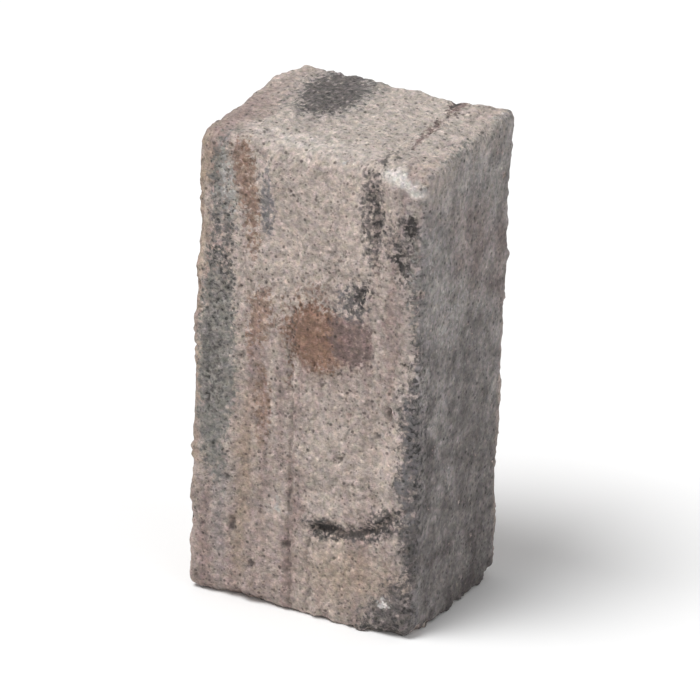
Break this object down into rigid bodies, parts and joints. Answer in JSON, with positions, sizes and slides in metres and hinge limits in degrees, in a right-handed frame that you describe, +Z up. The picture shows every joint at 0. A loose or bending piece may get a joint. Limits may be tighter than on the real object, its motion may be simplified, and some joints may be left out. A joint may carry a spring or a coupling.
{
  "type": "palisade block",
  "caption": "Tumbled split-face concrete block, stood on end beside others as a low garden edging, or stacked.",
  "frame": {"origin": "middle of the foot that the block stands on, under the middle of its bounding box", "axes": "+Z up, -Y out of the front split face, +X out of one pressed face, along a row of blocks"},
  "size_m": [0.15, 0.12, 0.2998],
  "materials": {
    "concrete": "split and tumbled concrete, marbled beige, rust and charcoal"
  },
  "bodies": {
    "root": {"palisade_block": "concrete"}
  },
  "joints": []
}
